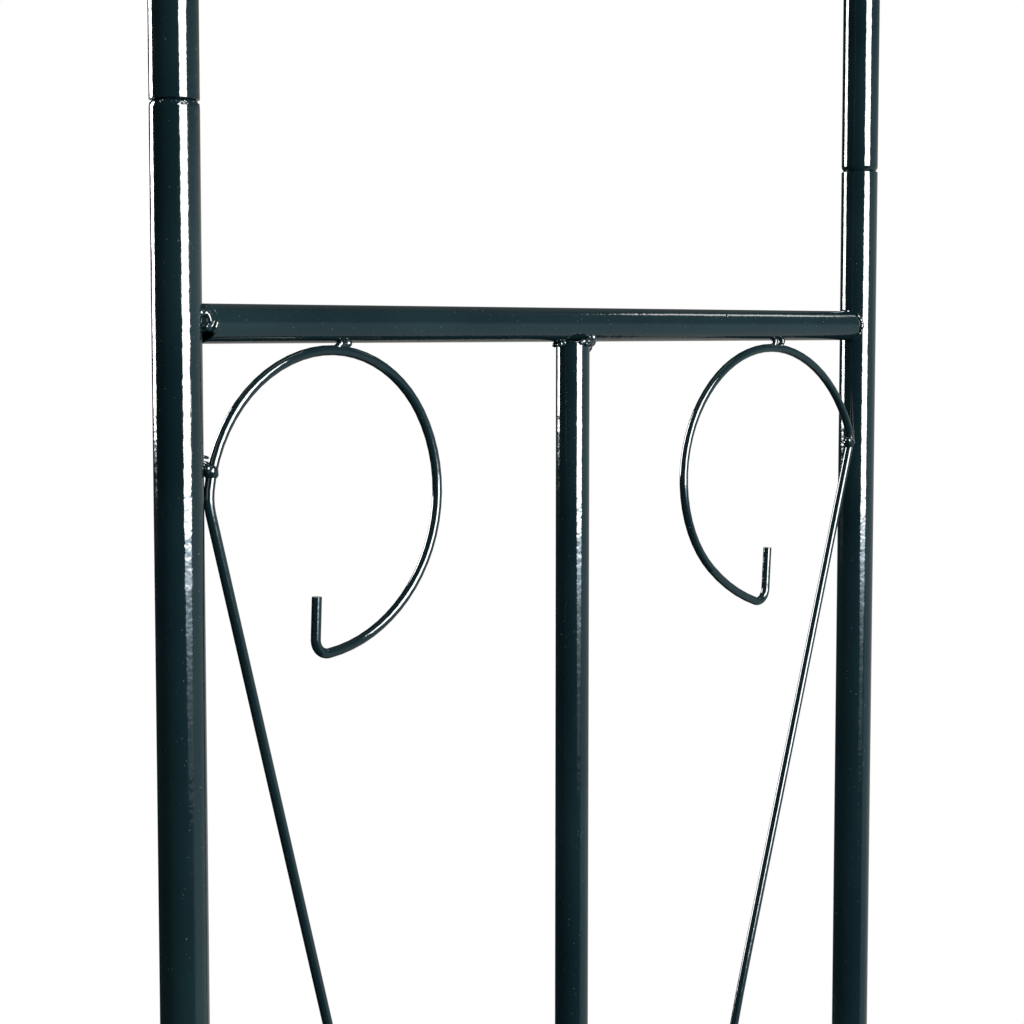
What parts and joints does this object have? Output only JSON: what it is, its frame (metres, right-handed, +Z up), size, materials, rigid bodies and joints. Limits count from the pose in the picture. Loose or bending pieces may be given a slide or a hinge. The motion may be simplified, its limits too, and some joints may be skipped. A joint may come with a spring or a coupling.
{
  "type": "metal trellis arch",
  "caption": "Free-standing garden trellis arch of push-fit tube sections, with ladder sides, scroll wires and a round hooped top.",
  "frame": {"origin": "on the ground, under the middle of the arch", "axes": "+Z up; +X across the arch from the left side to the right side; +Y the way a person walks through"},
  "size_m": [1.2038, 0.376, 2.4],
  "materials": {
    "coated_tube": "gloss dark green powder coat on steel tube",
    "coated_wire": "gloss dark green powder coat on bent steel wire",
    "coated_weld": "gloss dark green powder coat over lumpy weld beads",
    "black_plastic": "satin moulded black plastic"
  },
  "bodies": {
    "right_lower_section": {"right_lower_front_upright": "coated_tube", "right_lower_back_upright": "coated_tube", "right_lower_bottom_crossbar": "coated_tube", "right_lower_top_crossbar": "coated_tube", "right_lower_centre_tube": "coated_tube", "right_lower_front_foot_plug": "black_plastic", "right_lower_back_foot_plug": "black_plastic", "right_lower_welds": "coated_weld"},
    "right_upper_section": {"right_upper_front_upright": "coated_tube", "right_upper_back_upright": "coated_tube", "right_upper_bottom_crossbar": "coated_tube", "right_upper_top_crossbar": "coated_tube", "right_upper_centre_tube": "coated_tube", "right_upper_front_scroll": "coated_wire", "right_upper_back_scroll": "coated_wire", "right_upper_welds": "coated_weld"},
    "right_arch_half": {"right_arch_front_hoop": "coated_tube", "right_arch_back_hoop": "coated_tube", "right_arch_rung_1": "coated_tube", "right_arch_rung_2": "coated_tube", "right_arch_rung_3": "coated_tube", "right_arch_rung_4": "coated_tube", "right_arch_welds": "coated_weld"},
    "left_arch_half": {"left_arch_back_hoop": "coated_tube", "left_arch_front_hoop": "coated_tube", "left_arch_rung_1": "coated_tube", "left_arch_rung_2": "coated_tube", "left_arch_rung_3": "coated_tube", "left_arch_rung_4": "coated_tube", "left_arch_welds": "coated_weld"},
    "left_upper_section": {"left_upper_back_upright": "coated_tube", "left_upper_front_upright": "coated_tube", "left_upper_bottom_crossbar": "coated_tube", "left_upper_top_crossbar": "coated_tube", "left_upper_centre_tube": "coated_tube", "left_upper_back_scroll": "coated_wire", "left_upper_front_scroll": "coated_wire", "left_upper_welds": "coated_weld"},
    "left_lower_section": {"left_lower_back_upright": "coated_tube", "left_lower_front_upright": "coated_tube", "left_lower_bottom_crossbar": "coated_tube", "left_lower_top_crossbar": "coated_tube", "left_lower_centre_tube": "coated_tube", "left_lower_back_foot_plug": "black_plastic", "left_lower_front_foot_plug": "black_plastic", "left_lower_welds": "coated_weld"}
  },
  "joints": [
    {"name": "right_upper_lift", "type": "slide", "parent": "right_lower_section", "child": "right_upper_section", "axis": [0, 0, 1], "range_m": [0, 0.05]},
    {"name": "right_arch_lift", "type": "slide", "parent": "right_upper_section", "child": "right_arch_half", "axis": [0, 0, 1], "range_m": [0, 0.05]},
    {"name": "crown_pull", "type": "slide", "parent": "right_arch_half", "child": "left_arch_half", "axis": [-1, 0, 0], "range_m": [0, 0.05]},
    {"name": "left_arch_lift", "type": "slide", "parent": "left_arch_half", "child": "left_upper_section", "axis": [0, 0, -1], "range_m": [0, 0.05]},
    {"name": "left_upper_lift", "type": "slide", "parent": "left_upper_section", "child": "left_lower_section", "axis": [0, 0, -1], "range_m": [0, 0.05]}
  ],
  "couplings": [
    {"joint": "left_arch_lift", "follows": "right_arch_lift", "ratio": 1},
    {"joint": "left_upper_lift", "follows": "right_upper_lift", "ratio": 1}
  ]
}
